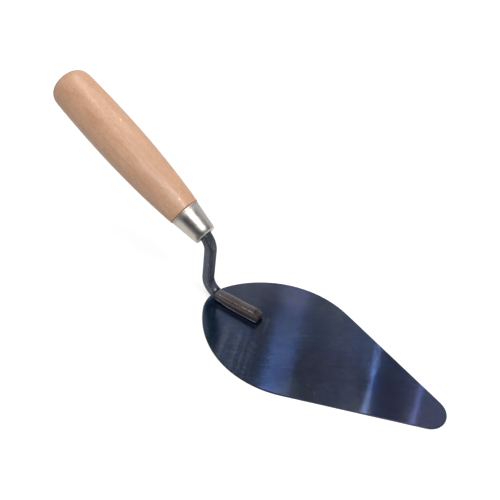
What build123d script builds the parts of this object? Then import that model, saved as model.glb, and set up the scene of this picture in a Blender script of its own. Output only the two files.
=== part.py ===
from build123d import *
import os
from math import asin, atan, atan2, cos, degrees, hypot, radians, sin, sqrt, tan

# A bricklayer's trowel with a leaf-shaped blade, a bent neck and a turned wooden handle.
# Millimetres. The origin lies on the sole, halfway along the blade; +X points to the tip,
# +Z is up, and the XZ plane is the plane of symmetry.

# Blade: a steel sheet with a flat sole, ground thinner towards its tip.
blade_length = 180.0
heel_radius = 25.9
belly_radius = 72.3
tip_radius = 11.6
flank_angle = 21.1  # from the centre line to a straight flank, in degrees
heel_thickness = 1.4
tip_thickness = 1.0
rim_bevel = 0.3

# Welds: round nuggets that hold the foot just clear of the blade.
weld_height = 0.6
weld_diameter = 5.0
weld_inset = 4.0  # from either end of the foot's flat underside to a weld's centre

# Neck: one rounded square bar, bent twice, with its lower end pressed flat into a foot.
rod_side = 7.4
rod_corner = 2.0
neck_setback = 3.2  # from the heel back to the corner point of the lower bend
neck_rise = 48.3  # between the corner points of the two bends
neck_lean = 7.9  # forward lean of the upright, in degrees
lower_bend_radius = 12.3
upper_bend_radius = 13.8
bend_run = 1.0  # straight bar between the lower bend and the foot
foot_reach = 44.0  # from the heel to the front end of the foot
foot_width = 8.4
foot_height = 6.9
foot_corner = 2.4
foot_edge = 0.5  # corners beside the foot's flat underside
foot_blend = 6.0  # length over which the bar widens into the foot
crease_reach = 6.0  # from the heel to the crease inside the lower bend
end_bevel_length = 4.0
end_bevel_depth = 3.2
end_chamfer = 0.4

# Tang: the bar's upper end, tapered where it is driven into the handle.
tang_straight = 10.0
tang_taper = 58.0
tang_tip_side = 3.4
tang_tip_corner = 0.85
tang_clearance = 0.1

# Ferrule: a thin conical cap with its small end swaged inwards round the bar.
handle_angle = 33.55  # rise of the handle above the blade, in degrees
ferrule_setback = 5.5  # from the corner point of the upper bend to the small end
ferrule_length = 21.4
ferrule_small_radius = 8.2  # of the plain cone, before its end is swaged
swage_length = 3.5
swage_angle = 9.0  # turn inwards over that length, in degrees
ferrule_large_radius = 11.2
ferrule_wall = 0.8
ferrule_roll = 0.5
ferrule_rim = 0.5
mouth_clearance = 0.5

# Handle: turned wood, swelling from the ferrule towards a rounded butt.
grip_length = 122.0
shoulder_radius = 11.6
shoulder_round = 0.4
slim_station = 20.0  # distances along the grip, each with the radius turned there
slim_radius = 13.7
full_station = 75.0
full_radius = 15.9
butt_radius = 15.0
butt_depth = 10.0
butt_fullness = 0.73  # 0.55 would be an ellipse, 1 a square corner
seat_clearance = 0.1
tenon_gap = 0.3

# Stations along X and Z that follow from those sizes.
heel_x = -blade_length / 2
tip_x = blade_length / 2
foot_end = heel_x + foot_reach
foot_bottom = heel_thickness + weld_height
foot_top = foot_bottom + foot_height
bar_height = foot_bottom + foot_height / 2
lower_corner = (heel_x - neck_setback, 0, bar_height)
upper_corner = (lower_corner[0] + neck_rise * tan(radians(neck_lean)), 0, bar_height + neck_rise)
lower_tangent = lower_bend_radius * tan(radians(90 + neck_lean) / 2)
upper_tangent = upper_bend_radius * tan(radians(90 + neck_lean - handle_angle) / 2)
bend_start = lower_corner[0] + lower_tangent
foot_root = bend_start + bend_run
foot_start = foot_root + foot_blend

# The handle's axis leaves the upper corner point and rises backwards.
handle_direction = Vector(-cos(radians(handle_angle)), 0, sin(radians(handle_angle)))
handle_axis = Axis(upper_corner, handle_direction)
tenon_start = max(upper_tangent, ferrule_setback + swage_length) + tenon_gap
shoulder = ferrule_setback + ferrule_length + seat_clearance
tang_shoulder = tenon_start + tang_straight
tang_end = tang_shoulder + tang_taper


def axis_plane(distance):
    """Plane square to the handle's axis, at a distance from the upper corner point."""
    origin = Vector(upper_corner) + handle_direction * distance
    return Plane(origin=origin, x_dir=(0, 1, 0), z_dir=handle_direction)


def profile_plane(distance):
    """Plane that holds the handle's axis: local x runs along it, local y is the radius."""
    origin = Vector(upper_corner) + handle_direction * distance
    return Plane(origin=origin, x_dir=handle_direction, z_dir=(0, -1, 0))


def bar_plane(x):
    """Plane square to the foot, facing the heel."""
    return Plane(origin=(x, 0, bar_height), x_dir=(0, 1, 0), z_dir=(-1, 0, 0))


def bar_section(plane, width, height, corner):
    with BuildSketch(plane) as section:
        RectangleRounded(width, height, corner)
    return section.sketch


def foot_section(plane):
    """The foot's outline: round above, crisp along its flat underside."""
    with BuildSketch(plane) as section:
        Rectangle(foot_width, foot_height)
        fillet(section.vertices().group_by(Axis.Y)[0], radius=foot_corner)
        fillet(section.vertices().group_by(Axis.Y)[-1], radius=foot_edge)
    return section.sketch


# The blade's top falls in a straight line from the heel to the tip.
grind_angle = atan2(heel_thickness - tip_thickness, blade_length)
blade_top = Plane(
    origin=(heel_x, 0, heel_thickness),
    x_dir=(cos(grind_angle), 0, -sin(grind_angle)),
    z_dir=(sin(grind_angle), 0, cos(grind_angle)),
)

# The belly arc touches the heel arc from inside and both straight flanks.
flank = radians(flank_angle)
heel_centre = heel_x + heel_radius
tip_centre = tip_x - tip_radius
belly_inset = (tip_centre - heel_centre) * sin(flank) + tip_radius - belly_radius
belly_slide = sqrt((belly_radius - heel_radius) ** 2 - belly_inset**2)
belly_x = heel_centre + belly_inset * sin(flank) + belly_slide * cos(flank)
belly_y = belly_inset * cos(flank) - belly_slide * sin(flank)
heel_sweep = degrees(atan2(-belly_y, belly_x - heel_centre))

with BuildPart() as blade:
    with BuildSketch(Plane.XY):
        with BuildLine():
            tip_arc = CenterArc((tip_centre, 0), tip_radius, 0, 90 - flank_angle)
            belly_arc = CenterArc(
                (belly_x, belly_y), belly_radius, 90 - flank_angle, 90 + flank_angle - heel_sweep
            )
            Line(tip_arc @ 1, belly_arc @ 0)
            CenterArc((heel_centre, 0), heel_radius, 180 - heel_sweep, heel_sweep)
            mirror(about=Plane.XZ)
        make_face()
    extrude(amount=heel_thickness + rim_bevel)
    split(bisect_by=blade_top, keep=Keep.BOTTOM)
    chamfer(blade.faces().sort_by(Axis.Z)[-1].edges(), length=rim_bevel)
blade.part.label = "blade"

with BuildPart() as weld_nuggets:
    with BuildSketch(Plane.XY.offset(foot_bottom)):
        with Locations((foot_start + weld_inset, 0), (foot_end - weld_inset, 0)):
            Circle(weld_diameter / 2)
    extrude(amount=-foot_bottom)
    split(bisect_by=blade_top, keep=Keep.TOP)
weld_nuggets.part.label = "weld_nuggets"

# Inside the lower bend the metal is folded to a crease: a flank that runs down
# tangent to the bend's inner side meets the flat top of the foot.
bend_centre_z = bar_height + lower_bend_radius
inner_radius = lower_bend_radius - rod_side / 2
crease_x = heel_x + crease_reach
to_centre = hypot(bend_start - crease_x, bend_centre_z - foot_top)
centre_bearing = atan2(bend_centre_z - foot_top, bend_start - crease_x)
fold_bearing = centre_bearing + asin(inner_radius / to_centre)
fold_length = sqrt(to_centre**2 - inner_radius**2)
fold_top = (
    crease_x + fold_length * cos(fold_bearing),
    foot_top + fold_length * sin(fold_bearing),
)

with BuildPart() as neck:
    with BuildLine() as neck_line:
        FilletPolyline(
            (foot_root, 0, bar_height),
            lower_corner,
            upper_corner,
            Vector(upper_corner) + handle_direction * tang_shoulder,
            radius=[lower_bend_radius, upper_bend_radius],
        )
    with BuildSketch(bar_plane(foot_root)):
        RectangleRounded(rod_side, rod_side, rod_corner)
    sweep()
    loft(
        [
            bar_section(axis_plane(tang_shoulder), rod_side, rod_side, rod_corner),
            bar_section(axis_plane(tang_end), tang_tip_side, tang_tip_side, tang_tip_corner),
        ]
    )
    loft(
        [
            bar_section(bar_plane(foot_root), rod_side, rod_side, rod_corner),
            foot_section(bar_plane(foot_start)),
        ]
    )
    extrude(foot_section(bar_plane(foot_end)), amount=foot_end - foot_start)
    chamfer(neck.faces().sort_by(Axis.X)[-1].edges(), length=end_chamfer)
    with BuildSketch(Plane.XZ):
        with BuildLine():
            Polyline(
                (crease_x, foot_top),
                (foot_start, foot_top),
                (foot_start, bend_centre_z),
                (bend_start, bend_centre_z),
                fold_top,
                close=True,
            )
        make_face()
        with BuildLine():
            Polyline(
                (foot_end - end_bevel_length, foot_top),
                (foot_end, foot_top - end_bevel_depth),
                (foot_end, foot_top),
                close=True,
            )
        make_face()
    extrude(amount=foot_width, both=True, mode=Mode.SUBTRACT)
neck.part.label = "neck"

mouth_radius = (rod_side / 2 - rod_corner) * sqrt(2) + rod_corner + mouth_clearance
wall_taper = (ferrule_large_radius - ferrule_small_radius) / ferrule_length
swage_root = (swage_length, ferrule_small_radius + wall_taper * swage_length)

# The swage is an arc tangent to the cone, which turns its wall inwards to the small end.
cone_angle = atan(wall_taper)
swage_arc_radius = swage_length / (sin(cone_angle + radians(swage_angle)) - sin(cone_angle))

with BuildPart() as ferrule:
    with BuildSketch(profile_plane(ferrule_setback)):
        with BuildLine():
            wall = Line((ferrule_length, ferrule_large_radius), swage_root)
            swage = JernArc(wall @ 1, wall % 1, swage_arc_radius, swage_angle)
            Polyline(swage @ 1, (0, 0), (ferrule_length, 0), wall @ 0)
        make_face()
    revolve(axis=handle_axis)
    fillet(
        ferrule.edges().filter_by(GeomType.CIRCLE).sort_by(SortBy.RADIUS)[0], radius=ferrule_roll
    )
    offset(amount=-ferrule_wall, openings=ferrule.faces().sort_by(handle_axis)[-1])
    rim_edges = ferrule.edges().group_by(handle_axis)[-1]
    fillet(rim_edges.sort_by(SortBy.RADIUS)[-1], radius=ferrule_rim)
    with Locations(axis_plane(ferrule_setback)):
        Hole(mouth_radius, depth=ferrule_wall * 2)
ferrule.part.label = "ferrule"

wall_depth = ferrule_wall * sqrt(1 + wall_taper**2)
tenon_front = tenon_start - shoulder


def tenon_radius(distance):
    """Radius that clears the ferrule's inner wall, at a distance from the upper corner point."""
    outside = ferrule_small_radius + wall_taper * (distance - ferrule_setback)
    return outside - wall_depth - seat_clearance


with BuildPart() as handle:
    with BuildSketch(profile_plane(shoulder)):
        with BuildLine():
            Polyline(
                (tenon_front, 0),
                (tenon_front, tenon_radius(tenon_start)),
                (0, tenon_radius(shoulder)),
                (0, shoulder_radius),
            )
            barrel = Spline(
                (0, shoulder_radius),
                (slim_station, slim_radius),
                (full_station, full_radius),
                (grip_length - butt_depth, butt_radius),
            )
            Bezier(
                barrel @ 1,
                barrel @ 1 + (barrel % 1) * butt_depth * butt_fullness,
                (grip_length, butt_radius * butt_fullness),
                (grip_length, 0),
            )
            Line((grip_length, 0), (tenon_front, 0))
        make_face()
    revolve(axis=handle_axis)
    fillet(
        handle.edges().filter_by(GeomType.CIRCLE).sort_by(SortBy.RADIUS)[-1], radius=shoulder_round
    )
    hole_side = rod_side + 2 * tang_clearance
    hole_corner = rod_corner + tang_clearance
    hole_tip = tang_tip_side + 2 * tang_clearance
    hole_tip_corner = tang_tip_corner + tang_clearance
    with BuildSketch(axis_plane(tenon_start)):
        RectangleRounded(hole_side, hole_side, hole_corner)
    extrude(amount=tang_straight, mode=Mode.SUBTRACT)
    loft(
        [
            bar_section(axis_plane(tang_shoulder), hole_side, hole_side, hole_corner),
            bar_section(axis_plane(tang_end + tang_clearance), hole_tip, hole_tip, hole_tip_corner),
        ],
        mode=Mode.SUBTRACT,
    )
handle.part.label = "handle"

os.makedirs("parts", exist_ok=True)
export_step(blade.part, "parts/blade.step")
export_step(weld_nuggets.part, "parts/weld_nuggets.step")
export_step(neck.part, "parts/neck.step")
export_step(ferrule.part, "parts/ferrule.step")
export_step(handle.part, "parts/handle.step")
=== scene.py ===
import math

import bpy
from mathutils import Matrix, Vector


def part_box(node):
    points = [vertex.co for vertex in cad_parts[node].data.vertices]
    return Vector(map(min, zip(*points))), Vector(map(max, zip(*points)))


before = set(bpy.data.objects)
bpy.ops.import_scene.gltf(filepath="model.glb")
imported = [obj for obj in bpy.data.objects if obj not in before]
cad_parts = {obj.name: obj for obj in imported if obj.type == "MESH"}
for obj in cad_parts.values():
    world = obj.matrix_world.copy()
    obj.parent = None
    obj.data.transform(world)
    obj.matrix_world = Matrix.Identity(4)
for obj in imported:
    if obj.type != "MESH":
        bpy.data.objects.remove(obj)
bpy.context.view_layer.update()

# Looks for the brick trowel. Metres; the sole lies on z = 0 and the tip points along +X.

# ---------------------------------------------------------------- places read from the frame

CREASE_REACH = 0.006  # from the heel to the crease where the neck bends up from its foot
FOOT_HEIGHT = 0.0069
GRIND_ANGLE = math.radians(20)


def centroid(node):
    """Centre of a CAD node's surface, each face weighted by its area."""
    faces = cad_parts[node].data.polygons
    total = sum(face.area for face in faces)
    return sum((face.center * face.area for face in faces), Vector()) / total


blade_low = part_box("blade")[0]
foot_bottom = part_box("neck")[0].z
nugget_low, nugget_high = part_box("weld_nuggets")
foot_middle = (nugget_low.x + nugget_high.x) / 2
foot_top = foot_bottom + FOOT_HEIGHT
crease_x = blade_low.x + CREASE_REACH

# The ferrule and the grip turn about one line, which holds both their centroids.
ferrule_centre = centroid("ferrule")
grip_axis = (centroid("handle") - ferrule_centre).normalized()
grip_side = Vector((0, 1, 0))
grip_up = Vector((grip_axis.z, 0, -grip_axis.x))


def reach(node):
    """Nearest and farthest distance of a CAD node from the ferrule's centre, along the grip."""
    points = [
        (vertex.co - ferrule_centre).dot(grip_axis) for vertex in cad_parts[node].data.vertices
    ]
    return min(points), max(points)


throat, mouth = reach("ferrule")
butt_end = reach("handle")[1]

# The blade was ground lengthwise at a small slant; the shine spreads square to those lines.
along_grind = Vector((math.cos(GRIND_ANGLE), math.sin(GRIND_ANGLE), 0))
across_grind = Vector((-math.sin(GRIND_ANGLE), math.cos(GRIND_ANGLE), 0))


# ---------------------------------------------------------------- small node-tree language


class Tree:
    """Builds a node tree from plain calls; whatever makes a value returns its output socket."""

    def __init__(self, owner):
        owner.use_nodes = True
        self.tree = owner.node_tree
        self.tree.nodes.clear()

    def put(self, socket, value):
        """Feeds an input from another node's output, or sets it to a plain value."""
        if isinstance(value, bpy.types.NodeSocket):
            self.tree.links.new(value, socket)
        else:
            socket.default_value = value

    def node(self, kind, *values, **settings):
        """A new node with its settings made and its first inputs fed in order."""
        made = self.tree.nodes.new("ShaderNode" + kind)
        for name, value in settings.items():
            setattr(made, name, value)
        for socket, value in zip(made.inputs, values):
            self.put(socket, value)
        return made

    def add(self, kind, output=0, **values):
        """Adds a node; values go to inputs by name, with _ for a space."""
        made = self.node(kind)
        for name, value in values.items():
            self.put(made.inputs[name.replace("_", " ")], value)
        return made.outputs[output]

    # Numbers.

    def math(self, operation, *values, clamp=False):
        return self.node("Math", *values, operation=operation, use_clamp=clamp).outputs[0]

    def product(self, first, *factors):
        for factor in factors:
            first = self.math("MULTIPLY", first, factor)
        return first

    def rest(self, value):
        """What is left of 1."""
        return self.math("SUBTRACT", 1.0, value)

    def centred(self, value):
        """A noise value moved down so that it swings about 0."""
        return self.math("SUBTRACT", value, 0.5)

    def band(self, value, low, high, out_low=0.0, out_high=1.0, smooth=True):
        """Maps value from low..high onto out_low..out_high, clamped."""
        ramp = "SMOOTHSTEP" if smooth else "LINEAR"
        values = (value, low, high, out_low, out_high)
        return self.node("MapRange", *values, interpolation_type=ramp).outputs[0]

    def ridge(self, value, centre, half, soft):
        """1 within half of centre, falling to 0 over soft."""
        distance = self.math("ABSOLUTE", self.math("SUBTRACT", value, centre))
        return self.band(distance, half, half + soft, 1.0, 0.0)

    # Places and directions.

    def vector(self, operation, *values, output=0):
        return self.node("VectorMath", *values, operation=operation).outputs[output]

    def dot(self, vector, direction):
        return self.vector("DOT_PRODUCT", vector, tuple(direction), output="Value")

    def scaled(self, direction, amount):
        """A direction, fixed or from a socket, made amount times as long."""
        made = self.node("VectorMath", direction, operation="SCALE")
        self.put(made.inputs["Scale"], amount)
        return made.outputs[0]

    def split(self, vector):
        return tuple(self.node("SeparateXYZ", vector).outputs)

    def place(self):
        """A point of the surface, in metres in the shared frame."""
        return self.add("TexCoord", output="Object")

    def normal(self):
        return self.add("NewGeometry", output="Normal")

    def along(self, direction, start=(0, 0, 0)):
        """Distance along a direction from a start point."""
        return self.dot(self.vector("SUBTRACT", self.place(), tuple(start)), direction)

    def axes(self, origin, *scaled_axes):
        """The surface point in a frame of its own; each axis is as long as its scale."""
        x, y, z = (self.along(axis, origin) for axis in scaled_axes)
        return self.add("CombineXYZ", X=x, Y=y, Z=z)

    def grind(self, lengthwise, across, slant=0.0):
        """Coordinates scaled along the blade's grinding lines and across them; slant skews them."""
        lines = (along_grind + across_grind * slant) * lengthwise
        return self.axes((0, 0, 0), lines, across_grind * across, Vector((0, 0, lengthwise)))

    def grain(self, lengthwise, across):
        """Coordinates that stretch a pattern along the grip."""
        return self.axes(
            ferrule_centre, grip_axis * lengthwise, grip_side * across, grip_up * across
        )

    def turned(self, lengthwise, around):
        """Coordinates that carry a pattern round the grip's axis, as a lathe does."""
        s, side, up = (self.along(axis, ferrule_centre) for axis in (grip_axis, grip_side, grip_up))
        angle = self.math("ARCTAN2", side, up)
        wave = self.product(self.math("SINE", angle), around)
        other = self.product(self.math("COSINE", angle), around)
        return self.add("CombineXYZ", X=self.product(s, lengthwise), Y=wave, Z=other)

    # Patterns and colours.

    def noise(self, vector, scale=1.0, detail=3.0, rough=0.5, warp=0.0):
        return self.add(
            "TexNoise", Vector=vector, Scale=scale, Detail=detail, Roughness=rough, Distortion=warp
        )

    def blend(self, factor, first, second, mode="MIX"):
        made = self.node("Mix", factor, data_type="RGBA", blend_type=mode)
        for socket, colour in ((made.inputs[6], first), (made.inputs[7], second)):
            self.put(socket, (*colour, 1) if isinstance(colour, tuple) else colour)
        return made.outputs[2]

    def lay(self, colour, *layers):
        """Lays colours over one another; each layer is a mask and its colour."""
        for mask, above in layers:
            colour = self.blend(mask, colour, above)
        return colour

    def scale_colour(self, colour, factor):
        grey = self.add("CombineColor", Red=factor, Green=factor, Blue=factor)
        return self.blend(1.0, colour, grey, "MULTIPLY")

    # Shading.

    def bump(self, height, distance, normal=None):
        """A normal tipped by a height map; distance is the relief in metres."""
        values = {"Height": height, "Distance": distance}
        if normal is not None:
            values["Normal"] = normal
        return self.add("Bump", **values)

    def both(self, first, second):
        return self.node("AddShader", first, second).outputs[0]

    def finish(self, shader, kind="Material"):
        """Wires the finished shader to the tree's output."""
        self.node("Output" + kind, shader)


def material(name):
    made = bpy.data.materials.new(name)
    return made, Tree(made)


def paint(node, made):
    """Gives a whole CAD node one material."""
    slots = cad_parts[node].data.materials
    slots.clear()
    slots.append(made)


# ---------------------------------------------------------------- blade

HEEL_CENTRE = (-0.035, 0, 0)  # the teal at the heel's edge fades in with distance from here

# How far the grinding lines fan out, as a slope, by the tip and by the heel.
TIP_FAN = 0.13
HEEL_FAN = 0.025

BLUED = {
    # Temper colours.
    "navy": (0.0075, 0.0215, 0.0680),
    "teal": (0.0190, 0.0520, 0.1050),
    "slate": (0.0090, 0.0140, 0.0440),
    "ash": (0.0150, 0.0200, 0.0420),
    "indigo": (0.0105, 0.0170, 0.0580),
    "cobalt": (0.0055, 0.0160, 0.0680),
    "violet": (0.0250, 0.0300, 0.0800),
    "iris": (0.0240, 0.0290, 0.0850),
    "plum": (0.0280, 0.0320, 0.1060),
    "dusk": (0.0045, 0.0120, 0.0400),
    # Painted belts of reflected light and pale painted sheens.
    "steel": (0.0098, 0.0181, 0.0482),
    "sky": (0.0190, 0.0350, 0.0930),
    "mist": (0.0430, 0.0540, 0.1120),
    "azure": (0.0350, 0.0650, 0.1500),
    # Marks of polishing, use and grinding.
    "bloom": (0.0380, 0.0500, 0.0780),
    "wipe": (0.0270, 0.0410, 0.0790),
    "streak": (0.0430, 0.0610, 0.1020),
    "scratch": (0.1600, 0.1800, 0.2400),
    "rim": (0.0500, 0.0550, 0.0750),
}


def temper_and_light_belts(t, place, x, y, ground):
    """Temper colours: teal at the heel, then navy and slate, painted belts of reflected light, violet
    at the tip.
    """
    hue = t.math("MULTIPLY_ADD", t.centred(t.noise(place, 14.0, 2.0)), 0.06, x)
    out = t.vector("DISTANCE", place, HEEL_CENTRE, output="Value")
    heel_edge = t.product(
        t.band(x, -0.050, -0.060), t.band(y, 0.005, -0.015), t.band(out, 0.037, 0.043)
    )
    behind_foot = t.product(t.band(x, -0.035, -0.055, 0.0, 0.7), t.band(y, 0.0, 0.012))
    # Painted sheen: a pale haze across the grind, stronger on the near side.
    sheen_haze = t.product(t.ridge(ground, 0.028, 0.003, 0.008), t.band(y, 0.010, -0.012, 0.1, 0.36))
    # Painted reflection: a belt of light across the grind, dull on the near side and bright on the
    # far.
    light = t.blend(t.band(y, -0.005, 0.028), BLUED["steel"], BLUED["azure"])
    return t.lay(
        BLUED["navy"],
        (heel_edge, BLUED["teal"]),
        (t.band(hue, -0.015, 0.008), BLUED["slate"]),
        (behind_foot, BLUED["ash"]),
        (t.band(ground, 0.030, 0.046), BLUED["indigo"]),
        (t.ridge(ground, 0.0425, 0.0025, 0.004), BLUED["cobalt"]),
        (sheen_haze, BLUED["mist"]),
        (t.ridge(ground, 0.0355, 0.0025, 0.004), light),
        (t.band(hue, 0.066, 0.078), BLUED["violet"]),
        (t.ridge(ground, 0.0655, 0.0025, 0.003), BLUED["iris"]),
    )


def side_tints_and_sheens(t, tint, x, y, ground):
    """Tints and painted sheens that fade out across the blade, on its near side (low y) or its far
    side.
    """
    # The sky and mist layers are painted sheens: paler patches of painted reflection.
    beyond = t.product(t.band(y, -0.004, 0.018, 0.0, 0.8), t.band(x, -0.005, 0.02))
    dusk = t.product(t.ridge(ground, -0.0395, 0.002, 0.006), t.ridge(y, -0.015, 0.014, 0.03))
    ebb = t.product(t.ridge(ground, -0.008, 0.005, 0.006), t.band(y, -0.016, -0.032, 0.0, 0.8))
    lilac = t.product(t.ridge(ground, -0.027, 0.008, 0.006), t.band(y, 0.020, 0.038, 0.0, 0.5))
    plum = t.product(t.ridge(ground, -0.022, 0.004, 0.006), t.band(y, 0.010, 0.042))
    mist = t.product(t.ridge(ground, -0.033, 0.018, 0.012), t.band(y, 0.022, 0.036, 0.0, 0.5))
    crest = t.product(t.ridge(ground, -0.023, 0.004, 0.006), t.ridge(y, -0.008, 0.008, 0.014), 0.35)
    shore = t.product(t.band(y, -0.038, -0.048, 0.0, 0.5), t.band(x, -0.045, -0.030))
    return t.lay(
        tint,
        (beyond, BLUED["sky"]),
        (dusk, BLUED["dusk"]),
        (ebb, BLUED["dusk"]),
        (lilac, BLUED["bloom"]),
        (plum, BLUED["plum"]),
        (mist, BLUED["mist"]),
        (crest, BLUED["sky"]),
        (shore, BLUED["sky"]),
    )


def polish_marks(t, tint, place, x, y, ground):
    """Grey bloom, thicker in two patches, streaks square to the grind at the heel, a stray line."""
    bloom = t.band(t.noise(place, 60.0, 4.0, 0.6), 0.4, 0.75, 0.0, 0.3)
    near = t.product(t.band(y, -0.014, -0.034, 0.0, 0.35), t.band(x, -0.01, 0.01))
    far = t.product(t.ridge(x, -0.009, 0.005, 0.010), t.band(y, 0.022, 0.040, 0.0, 0.45))
    bloom = t.math("ADD", t.math("ADD", bloom, near), far)
    wipes = t.noise(t.grind(430, 8, slant=0.06), rough=0.6)
    heel = t.product(t.ridge(ground, -0.053, 0.010, 0.011), t.band(y, -0.008, -0.024))
    stray = t.product(t.ridge(ground, -0.0375, 0.0002, 0.0006), t.ridge(y, -0.001, 0.004, 0.005), 0.6)
    return t.lay(
        tint,
        (bloom, BLUED["bloom"]),
        (t.product(heel, t.band(wipes, 0.40, 0.52, 0.45, 0.9)), BLUED["wipe"]),
        (t.product(heel, t.band(wipes, 0.49, 0.62, 0.0, 0.7)), BLUED["streak"]),
        (stray, BLUED["streak"]),
    )


def scratches(t, place):
    """Fine bright marks a few millimetres long: thin rings cut short by a coarse noise."""
    cells = t.add("TexVoronoi", output="Distance", Vector=place, Scale=26.0)
    ring = t.ridge(cells, 0.42, 0.0012, 0.004)
    patch = t.band(t.noise(place, 210.0, 1.0), 0.66, 0.7)
    return t.product(ring, patch)


def ground_surface(t, x, fine, speckle):
    """Tangent and normal of the grinding lines, which fan out a little towards either end.

    They tip the surface mostly across the grind, which draws the shine out into bands, and a
    hair along it, which frays the bands' edges.
    """
    tip_fan = t.band(x, -0.01, 0.07, 0.0, TIP_FAN)
    fan = t.math("SUBTRACT", tip_fan, t.band(x, -0.01, -0.06, 0.0, HEEL_FAN))
    across = t.vector("ADD", tuple(across_grind), t.scaled(along_grind, fan))
    tip = t.math("MULTIPLY_ADD", t.centred(speckle), 0.28, t.product(t.centred(fine), 1.1))
    ragged = t.band(x, 0.0, 0.03, 0.016, 0.006)
    fray = t.product(t.centred(t.noise(t.grind(90, 700), detail=2.0)), ragged)
    tilt = t.vector("ADD", t.scaled(across, tip), t.scaled(along_grind, fray))
    return across, t.vector("NORMALIZE", t.vector("ADD", t.normal(), tilt))


def blued_steel():
    """Temper-blued sheet, ground lengthwise and polished, with an oily gloss on top."""
    made, t = material("blued_steel")
    place = t.place()
    x, y = t.split(place)[:2]
    ground = t.along(along_grind)
    tint = temper_and_light_belts(t, place, x, y, ground)
    tint = side_tints_and_sheens(t, tint, x, y, ground)
    tint = polish_marks(t, tint, place, x, y, ground)
    # Grinding lines: short dashes along the grind, fine across it, over a soft speckle.
    fine = t.noise(t.grind(1600, 5000), rough=0.65)
    speckle = t.noise(t.grind(260, 800), rough=0.6)
    broad = t.noise(t.grind(40, 700), rough=0.6)
    shade = t.product(t.band(broad, 0.25, 0.75, 0.93, 1.07), t.band(speckle, 0.25, 0.75, 0.84, 1.16))
    # The ground rim leans well away from level, and is bare, dull and dark.
    rim = t.band(t.math("ABSOLUTE", t.split(t.normal())[2]), 0.9, 0.6)
    colour = t.lay(
        t.scale_colour(tint, shade),
        (t.product(scratches(t, place), 0.5), BLUED["scratch"]),
        (rim, BLUED["rim"]),
    )
    rough = t.math("MULTIPLY_ADD", rim, 0.25, t.band(broad, 0.2, 0.8, 0.09, 0.13))
    across, normal = ground_surface(t, x, fine, speckle)
    shader = t.add(
        "BsdfPrincipled", Base_Color=colour, Metallic=0.85, IOR=1.15, Roughness=rough, Anisotropic=1.0,
        Tangent=across, Normal=normal, Coat_Weight=0.5, Coat_Roughness=0.14, Coat_IOR=1.5,
    )
    t.finish(shader)
    return made


# ---------------------------------------------------------------- neck and welds

FORGED = {
    "gunmetal": (0.078, 0.090, 0.128),
    "gunmetal_pale": (0.110, 0.123, 0.165),
    "brown": (0.050, 0.034, 0.035),
    "brown_pale": (0.078, 0.056, 0.055),
    "ash": (0.082, 0.076, 0.084),
    "far_edge_highlight": (0.150, 0.136, 0.152),
    "oxide": (0.057, 0.063, 0.088),
    "flank_shade": (0.105, 0.094, 0.106),
    "flank_lit": (0.215, 0.178, 0.182),
    "flank_highlight": (0.680, 0.650, 0.690),
    "crease": (0.012, 0.012, 0.014),
    "wear_and_highlight": (0.600, 0.580, 0.580),
    "speck": (0.340, 0.330, 0.330),
}


def foot_scale_and_highlight(t, cloud, x, y):
    """Top of the foot: scale browned by the weld's heat, ashen past it, and a painted highlight on its
    far side.
    """
    browned = t.blend(cloud, FORGED["brown"], FORGED["brown_pale"])
    heat = t.ridge(t.math("MULTIPLY_ADD", t.centred(cloud), 0.012, x), foot_middle, 0.008, 0.02)
    browned = t.blend(heat, FORGED["ash"], browned)
    # Painted highlight: the far side of the top is paler.
    far_edge = t.band(t.math("MULTIPLY_ADD", t.centred(cloud), 0.003, y), 0.0, 0.0034)
    return t.blend(far_edge, browned, FORGED["far_edge_highlight"])


def foot_flanks(t, colour, flank, x, z):
    """Painted light and shade on the flanks, darker towards the bottom, with a painted highlight line
    low on each, which is highest at the foot's two ends.
    """
    flank_shading = t.blend(t.band(z, 0.0042, 0.0062), FORGED["flank_shade"], FORGED["flank_lit"])
    bow = t.math("DIVIDE", t.math("SUBTRACT", x, foot_middle), 0.02)
    height = t.math("MULTIPLY_ADD", t.product(bow, bow), 0.0011, foot_bottom + 0.0011)
    highlight_line = t.product(t.ridge(z, height, 0.0004, 0.0006), flank)
    return t.lay(colour, (flank, flank_shading), (highlight_line, FORGED["flank_highlight"]))


def wear_and_highlights(t, place, side, on_foot):
    """Mask of wear and painted highlights: worn corners with painted glints, highlight dots on the
    foot, a highlight above the crease.
    """
    x, y, z = t.split(place)
    # On a corner of the bar the surface leans half sideways.
    level = t.math("SQRT", t.math("SUBTRACT", 1.0, t.product(side, side), clamp=True))
    corner = t.band(t.product(side, level), 0.36, 0.49)
    # Worn corners with painted glints, broken up by noise.
    corner_wear_and_glints = t.band(t.noise(place, 620.0, 2.0), 0.55, 0.66)
    corner_wear_and_glints = t.product(corner_wear_and_glints, t.rest(on_foot), corner)
    # Painted highlight dots lie in a row on the foot's near upper ridge.
    row = t.axes((0, 0, 0), Vector((1100, 0, 0)), Vector((0, 90, 0)), Vector((0, 0, 90)))
    ridge_highlights = t.band(t.noise(row, detail=2.0), 0.44, 0.56)
    ridge_highlights = t.product(ridge_highlights, on_foot, t.ridge(y, -0.0024, 0.00005, 0.0003))
    # A painted highlight on the bar just above the crease.
    crease_highlight = t.product(
        t.ridge(z, foot_bottom + 0.0086, 0.0004, 0.0008),
        t.ridge(y, -0.0008, 0.0004, 0.0009),
        t.band(x, crease_x, crease_x - 0.0003, 0.0, 1.3),
    )
    return t.math("MAXIMUM", t.math("MAXIMUM", corner_wear_and_glints, ridge_highlights), crease_highlight)


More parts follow.
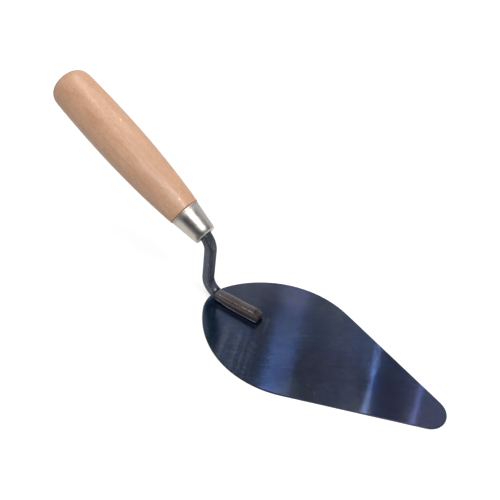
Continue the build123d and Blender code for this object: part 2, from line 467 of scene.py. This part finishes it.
def forged_steel():
    """Tempered bar: gunmetal, browned by the weld's heat along the foot, worn and with painted
    highlights on its edges.
    """
    made, t = material("forged_steel")
    place = t.place()
    x, y, z = t.split(place)
    cloud = t.noise(place, 130.0, 3.0, 0.6)
    side = t.math("ABSOLUTE", t.split(t.normal())[1])
    on_foot = t.product(t.band(x, crease_x, crease_x + 0.004), t.band(z, 0.012, 0.0095))
    flank = t.product(t.band(side, 0.6, 0.95), on_foot)
    colour = t.lay(
        t.blend(cloud, FORGED["gunmetal"], FORGED["gunmetal_pale"]),
        (on_foot, foot_scale_and_highlight(t, cloud, x, y)),
        # Oxide is thickest near the ferrule.
        (t.band(z, 0.044, 0.056), FORGED["oxide"]),
    )
    colour = foot_flanks(t, colour, flank, x, z)
    # Painted shade sits in the crease where the bar folds up from the foot.
    crease = t.product(t.ridge(x, crease_x, 0.0003, 0.0006), t.ridge(z, foot_top, 0.0006, 0.0008))
    # Wear and painted highlights: worn corners with glints, highlight dots on the foot, a spot above
    # the crease.
    wear_and_highlight_mask = wear_and_highlights(t, place, side, on_foot)
    speck = t.band(t.noise(place, 900.0, 0.0), 0.74, 0.78)
    colour = t.lay(
        colour,
        (crease, FORGED["crease"]),
        (t.product(wear_and_highlight_mask, t.band(z, 0.018, 0.035, 0.75, 0.25)), FORGED["wear_and_highlight"]),
        (t.product(speck, 0.6), FORGED["speck"]),
    )
    rough = t.band(cloud, 0.3, 0.7, 0.24, 0.38)
    rough = t.math("MULTIPLY_ADD", t.rest(on_foot), 0.14, rough)
    rough = t.math("MULTIPLY_ADD", wear_and_highlight_mask, -0.1, rough)
    hammered = t.bump(t.noise(place, 190.0, 2.0), 0.00022)
    skin = t.bump(t.noise(place, 1500.0, 3.0, 0.6), 0.000018, normal=hammered)
    shader = t.add(
        "BsdfPrincipled", Base_Color=colour, Metallic=0.6, Roughness=rough, Normal=skin
    )
    t.finish(shader)
    return made


def weld_metal():
    """Cast-looking weld nuggets with a heat tint, rough and slightly sooty."""
    made, t = material("weld_metal")
    cloud = t.noise(t.place(), 700.0, 3.0)
    colour = t.blend(cloud, (0.055, 0.050, 0.055), (0.150, 0.125, 0.110))
    rough = t.band(cloud, 0.3, 0.7, 0.4, 0.62)
    pitted = t.bump(cloud, 0.0001)
    shader = t.add(
        "BsdfPrincipled", Base_Color=colour, Metallic=0.9, Roughness=rough, Normal=pitted
    )
    t.finish(shader)
    return made


# ---------------------------------------------------------------- ferrule

NICKEL = {
    "plate": (0.550, 0.517, 0.472),
    "plate_pale": (0.610, 0.575, 0.545),
    "groove_and_shade": (0.100, 0.095, 0.090),
    "throat_highlight": (0.880, 0.860, 0.840),
}


def nickel_plate():
    """Bright plate on a spun cap: faint rings round it and hairline scuffs along it."""
    made, t = material("nickel_plate")
    place = t.place()
    s = t.along(grip_axis, ferrule_centre)
    smear = t.noise(place, 160.0, 3.0)
    scuffs = t.noise(t.turned(60.0, 40.0))
    # A fine groove is rolled in behind the rim, next to the wood, and painted dark as shade.
    # The edge at the throat is dull and carries a painted highlight, a light line.
    groove_and_shade = t.ridge(s, mouth - 0.0015, 0.00015, 0.0005)
    edge = t.ridge(s, throat + 0.0003, 0.00015, 0.0003)
    colour = t.lay(
        t.blend(smear, NICKEL["plate"], NICKEL["plate_pale"]),
        (t.product(groove_and_shade, 0.3), NICKEL["groove_and_shade"]),
        (edge, NICKEL["throat_highlight"]),
    )
    rough = t.math("ADD", t.band(smear, 0.3, 0.7, 0.27, 0.34), t.band(scuffs, 0.62, 0.72, 0.0, 0.1))
    # Beside the wood the plate is dull too.
    by_wood = t.band(s, mouth - 0.007, mouth - 0.001, 0.0, 0.17)
    rough = t.math("ADD", rough, t.math("MAXIMUM", t.product(edge, 0.4), by_wood))
    # The wall curls in towards the throat.
    curl = t.band(s, throat + 0.004, throat, smooth=False)
    relief = t.bump(groove_and_shade, -0.00002)
    relief = t.bump(t.product(curl, curl), -0.0004, normal=relief)
    relief = t.bump(t.noise(place, 70.0, 1.0), 0.00008, normal=relief)
    rings = t.noise(t.turned(2600.0, 3.0), detail=2.0)
    relief = t.bump(rings, 0.0000012, normal=relief)
    shader = t.add(
        "BsdfPrincipled", Base_Color=colour, Metallic=1.0, Roughness=rough, Normal=relief
    )
    t.finish(shader)
    return made


# ---------------------------------------------------------------- grip

BEECH = {
    "growth": (0.545, 0.292, 0.170),
    "growth_pale": (0.666, 0.402, 0.260),
    "mottle": (0.600, 0.348, 0.217),
    "fleck": (0.400, 0.200, 0.120),
    "ray": (0.430, 0.215, 0.125),
    "pore": (0.330, 0.170, 0.100),
    "end_grain_and_shade": (0.430, 0.230, 0.135),
}


def beech_colour(t, mottle, pores):
    """Growth bands and mottling under streaks, flecks, rays and pores, browner at the ends."""
    s = t.along(grip_axis, ferrule_centre)
    bands = t.noise(t.grain(9.0, 150.0), rough=0.55, warp=0.4)
    colour = t.blend(t.band(bands, 0.3, 0.7), BEECH["growth"], BEECH["growth_pale"])
    colour = t.blend(t.band(mottle, 0.35, 0.7), colour, BEECH["mottle"])
    # Streaks of two widths run with the grain.
    wide = t.band(t.noise(t.grain(60.0, 760.0), rough=0.6), 0.25, 0.75, 0.92, 1.08, smooth=False)
    hair = t.band(t.noise(t.grain(420.0, 1600.0), rough=0.6), 0.25, 0.75, 0.88, 1.12, smooth=False)
    colour = t.scale_colour(colour, t.product(wide, hair))
    flecks = t.band(t.noise(t.grain(260.0, 1500.0), detail=1.0), 0.64, 0.74)
    rays = t.band(t.noise(t.grain(420.0, 2300.0), detail=1.0), 0.62, 0.72)
    colour = t.lay(
        colour,
        (t.product(flecks, 0.28), BEECH["fleck"]),
        (t.product(rays, 0.30), BEECH["ray"]),
        (t.product(pores, 0.22), BEECH["pore"]),
    )
    # The wood pales a little towards the butt.
    colour = t.scale_colour(colour, t.band(s, 0.03, 0.10, 1.0, 1.08))
    # End grain drinks more lacquer and looks browner at the butt; beside the ferrule a browner band is
    # painted shade at the joint.
    joint_shade = t.band(s, mouth + 0.0016, mouth)
    end_grain_and_shade_mask = t.math("MAXIMUM", t.band(s, butt_end - 0.008, butt_end), joint_shade)
    return t.blend(t.product(end_grain_and_shade_mask, 0.45), colour, BEECH["end_grain_and_shade"])


def beech():
    """Steamed beech, turned and sanded: soft growth bands, short ray flecks and pores."""
    made, t = material("beech")
    mottle = t.noise(t.grain(90.0, 260.0), detail=2.0)
    pores = t.band(t.noise(t.grain(500.0, 4200.0), detail=2.0), 0.6, 0.7)
    # Lacquer lies glossy on the raised grain and sinks in elsewhere, so the shine sparkles.
    gloss = t.band(t.noise(t.grain(480.0, 1100.0), detail=2.0, rough=0.6), 0.54, 0.62)
    rough = t.math("MULTIPLY_ADD", pores, 0.12, t.band(mottle, 0.3, 0.7, 0.38, 0.46))
    rough = t.math("MULTIPLY_ADD", gloss, -0.26, rough)
    lathe = t.noise(t.turned(1300.0, 2.0), detail=1.0)
    relief = t.math("MULTIPLY_ADD", lathe, 0.25, t.product(t.centred(mottle), 0.5))
    relief = t.math("SUBTRACT", relief, t.product(pores, 0.35))
    # The lacquer's own skin is uneven, which breaks the shine into specks.
    peel = t.bump(t.noise(t.grain(520.0, 900.0), detail=2.0, rough=0.6), 0.00006)
    skin = t.bump(t.noise(t.grain(260.0, 700.0), detail=2.0, rough=0.6), 0.00015)
    shader = t.add(
        "BsdfPrincipled", Base_Color=beech_colour(t, mottle, pores), Metallic=0.0, Roughness=rough,
        IOR=1.5, Normal=t.bump(relief, 0.00006, normal=peel), Coat_Weight=0.08, Coat_Roughness=0.2,
        Coat_IOR=1.5, Coat_Normal=skin,
    )
    t.finish(shader)
    return made


paint("blade", blued_steel())
paint("neck", forged_steel())
paint("ferrule", nickel_plate())
paint("handle", beech())
paint("weld_nuggets", weld_metal())


# ---------------------------------------------------------------- studio

WHITE = (1.0, 1.0, 1.0)

FLOOR_RADIUS = 4.0
FLOOR_CORNERS = 96
FLOOR_DROP = 0.0002  # keeps the floor's face clear of the sole's


def floor_paper():
    """Pale matt paper with a glow, strongest for the camera and weaker in mirrors."""
    made, t = material("floor_paper")
    path = t.node("LightPath").outputs
    mirrored = t.math("MAXIMUM", path["Is Glossy Ray"], path["Is Transmission Ray"])
    # The paper is whiter away from the middle, so that the far floor stays as pale as the near.
    distance = t.vector("LENGTH", t.place(), output="Value")
    glow = t.product(path["Is Camera Ray"], t.band(distance, 0.15, 0.6, 0.52, 0.8))
    glow = t.math("MULTIPLY_ADD", mirrored, 0.3, glow)
    # Painted shade seen only in reflections: bright metal sees the floor darkened before the trowel,
    # its edge in line with the ferrule.
    x, y = t.split(t.place())[:2]
    ahead = t.math("MAXIMUM", t.product(y, -1.0), 0.02)
    sideways = t.math("DIVIDE", t.math("SUBTRACT", x, ferrule_centre.x), ahead)
    mirror_shade = t.product(t.band(sideways, -0.22, 0.1), t.band(y, -0.01, -0.05))
    kept = t.math("MULTIPLY_ADD", t.product(mirrored, mirror_shade), -0.8, 1.0)
    warm = t.blend(mirrored, WHITE, (1.0, 0.955, 0.88))
    shine = t.add("Emission", Color=warm, Strength=t.product(glow, kept))
    matt = t.add("BsdfDiffuse", Color=t.scale_colour((0.62, 0.62, 0.62), kept))
    t.finish(t.both(matt, shine))
    return made


def floor():
    """A round pale floor, wide enough to fill every view."""
    turn = 2 * math.pi / FLOOR_CORNERS
    ring = [
        (FLOOR_RADIUS * math.cos(i * turn), FLOOR_RADIUS * math.sin(i * turn), 0)
        for i in range(FLOOR_CORNERS)
    ]
    mesh = bpy.data.meshes.new("floor")
    mesh.from_pydata(ring, [], [list(range(FLOOR_CORNERS))])
    mesh.materials.append(floor_paper())
    made = bpy.data.objects.new("floor", mesh)
    made.location.z = -FLOOR_DROP
    bpy.context.scene.collection.objects.link(made)


LAMP_HEIGHT = 0.7
SPARK_HEIGHT = LAMP_HEIGHT - 0.01  # just under the key lamp
KEY_PLACE = (0.325, -0.25)


def strip_lamp(name, place, width, length, glow, height=LAMP_HEIGHT, lean=0.0):
    """A soft strip overhead, square to the grind but for its lean, which is a slope.

    Its place is along the grind and across it, and a glow of 1 is white.
    """
    data = bpy.data.lights.new(name, "AREA")
    data.shape = "RECTANGLE"
    data.size = width
    data.size_y = length
    data.energy = glow * math.pi * width * length
    lamp = bpy.data.objects.new(name, data)
    lamp.location = along_grind * place[0] + across_grind * place[1]
    lamp.location.z = height
    lamp.rotation_euler.z = GRIND_ANGLE - math.atan(lean)
    bpy.context.scene.collection.objects.link(lamp)


# Directions in the room.
FROM_CAMERA = (-0.59, 0.81, 0)  # level, away from the camera
TO_KEY = (0.602, -0.115, 0.790)
TO_SCREEN = (0.63, 0.60, 0.49)
TO_CARD = (-0.36, 0.67, 0.65)

# Belts of the ceiling square to the grind: middle and half width as slopes, soft edge, gain.
BELTS = (
    (-0.33, 0.07, 0.03, 0.2),
    (-0.225, 0.01, 0.022, -0.9),
    (-0.10, 0.02, 0.03, -0.4),
    (0.09, 0.012, 0.03, -0.8),
    (0.20, 0.03, 0.03, 0.8),
)


def room_level(t, look):
    """Brightness of the room by direction."""
    height = t.split(look)[2]
    towards = t.dot(look, FROM_CAMERA)
    level = t.band(towards, -0.4, 0.6, 0.33, 0.7)
    level = t.product(level, t.band(towards, -0.95, -0.5, 0.35, 1.0))
    # Towards the camera's side the room darkens to the horizon.
    low = t.product(t.band(towards, 0.2, -0.3), t.band(height, 0.7, 0.3, 0.0, 0.35))
    level = t.product(level, t.rest(low))
    # Soft spill round the key light.
    level = t.math("ADD", level, t.band(t.dot(look, TO_KEY), 0.92, 0.985, 0.0, 0.8))
    # A dark screen stands between the key light and the pale back of the room.
    level = t.product(level, t.band(t.dot(look, TO_SCREEN), 0.94, 0.995, 1.0, 0.35))
    # A pale card glows low behind the bench.
    level = t.math("ADD", level, t.band(t.dot(look, TO_CARD), 0.975, 0.999, 0.0, 0.8))
    # Overhead, belts darker or paler than the rest lie between the strips.
    slope = t.math("DIVIDE", t.dot(look, along_grind), t.math("MAXIMUM", height, 0.05))
    for middle, half, soft, gain in BELTS:
        belt = t.ridge(slope, middle, half, soft)
        level = t.product(level, t.math("MULTIPLY_ADD", belt, gain, 1.0))
    return level


def room():
    """World light: white where the camera looks at it, a pale backdrop and a dimmer room."""
    world = bpy.data.worlds.new("room")
    bpy.context.scene.world = world
    t = Tree(world)
    level = room_level(t, t.add("TexCoord", output="Generated"))
    seen = t.add("LightPath", output="Is Camera Ray")
    # The room's dim parts are cooler.
    cool = t.blend(t.band(level, 0.1, 0.5), (0.86, 0.95, 1.08), WHITE)
    colour = t.blend(seen, cool, WHITE)
    strength = t.math("MAXIMUM", level, seen)
    t.finish(t.add("Background", Color=colour, Strength=strength), "World")


SENSOR_WIDTH = 36.0
FOCAL_LENGTH = 39.54
CAMERA_SHIFT = (-0.001, 0.001)
CAMERA_PLACE = (0.106066, -0.217510, 0.287625)
CAMERA_AZIMUTH = math.radians(36.276)
CAMERA_ELEVATION = math.radians(39.892)


def camera():
    """Looks down from the near side, turned back towards the heel."""
    data = bpy.data.cameras.new("camera")
    data.sensor_width = SENSOR_WIDTH
    data.lens = FOCAL_LENGTH
    data.shift_x, data.shift_y = CAMERA_SHIFT
    data.clip_start = 0.01
    data.clip_end = 20.0
    made = bpy.data.objects.new("camera", data)
    right = Vector((math.cos(CAMERA_AZIMUTH), math.sin(CAMERA_AZIMUTH), 0))
    ahead = Vector(
        (
            -math.sin(CAMERA_AZIMUTH) * math.cos(CAMERA_ELEVATION),
            math.cos(CAMERA_AZIMUTH) * math.cos(CAMERA_ELEVATION),
            -math.sin(CAMERA_ELEVATION),
        )
    )
    turn = Matrix((right, right.cross(ahead), -ahead)).transposed()
    made.matrix_world = Matrix.Translation(CAMERA_PLACE) @ turn.to_4x4()
    bpy.context.scene.collection.objects.link(made)
    bpy.context.scene.camera = made


floor()
strip_lamp("strip_broad", (-0.115, 0.16), width=0.055, length=0.52, glow=7.8)
strip_lamp("strip_middle", (0.0580, 0.33), width=0.006, length=0.26, glow=32.5, lean=0.085)
strip_lamp("strip_narrow", (0.1478, 0.33), width=0.006, length=0.26, glow=14.0, lean=0.13)
strip_lamp("strip_key", KEY_PLACE, width=0.25, length=0.46, glow=3.6)
strip_lamp("strip_spark", KEY_PLACE, width=0.014, length=0.2, glow=190.0, height=SPARK_HEIGHT)
strip_lamp("strip_front", (0.1, -0.42), width=0.34, length=0.3, glow=5.1)
room()
camera()
bpy.context.scene.view_settings.view_transform = "Standard"
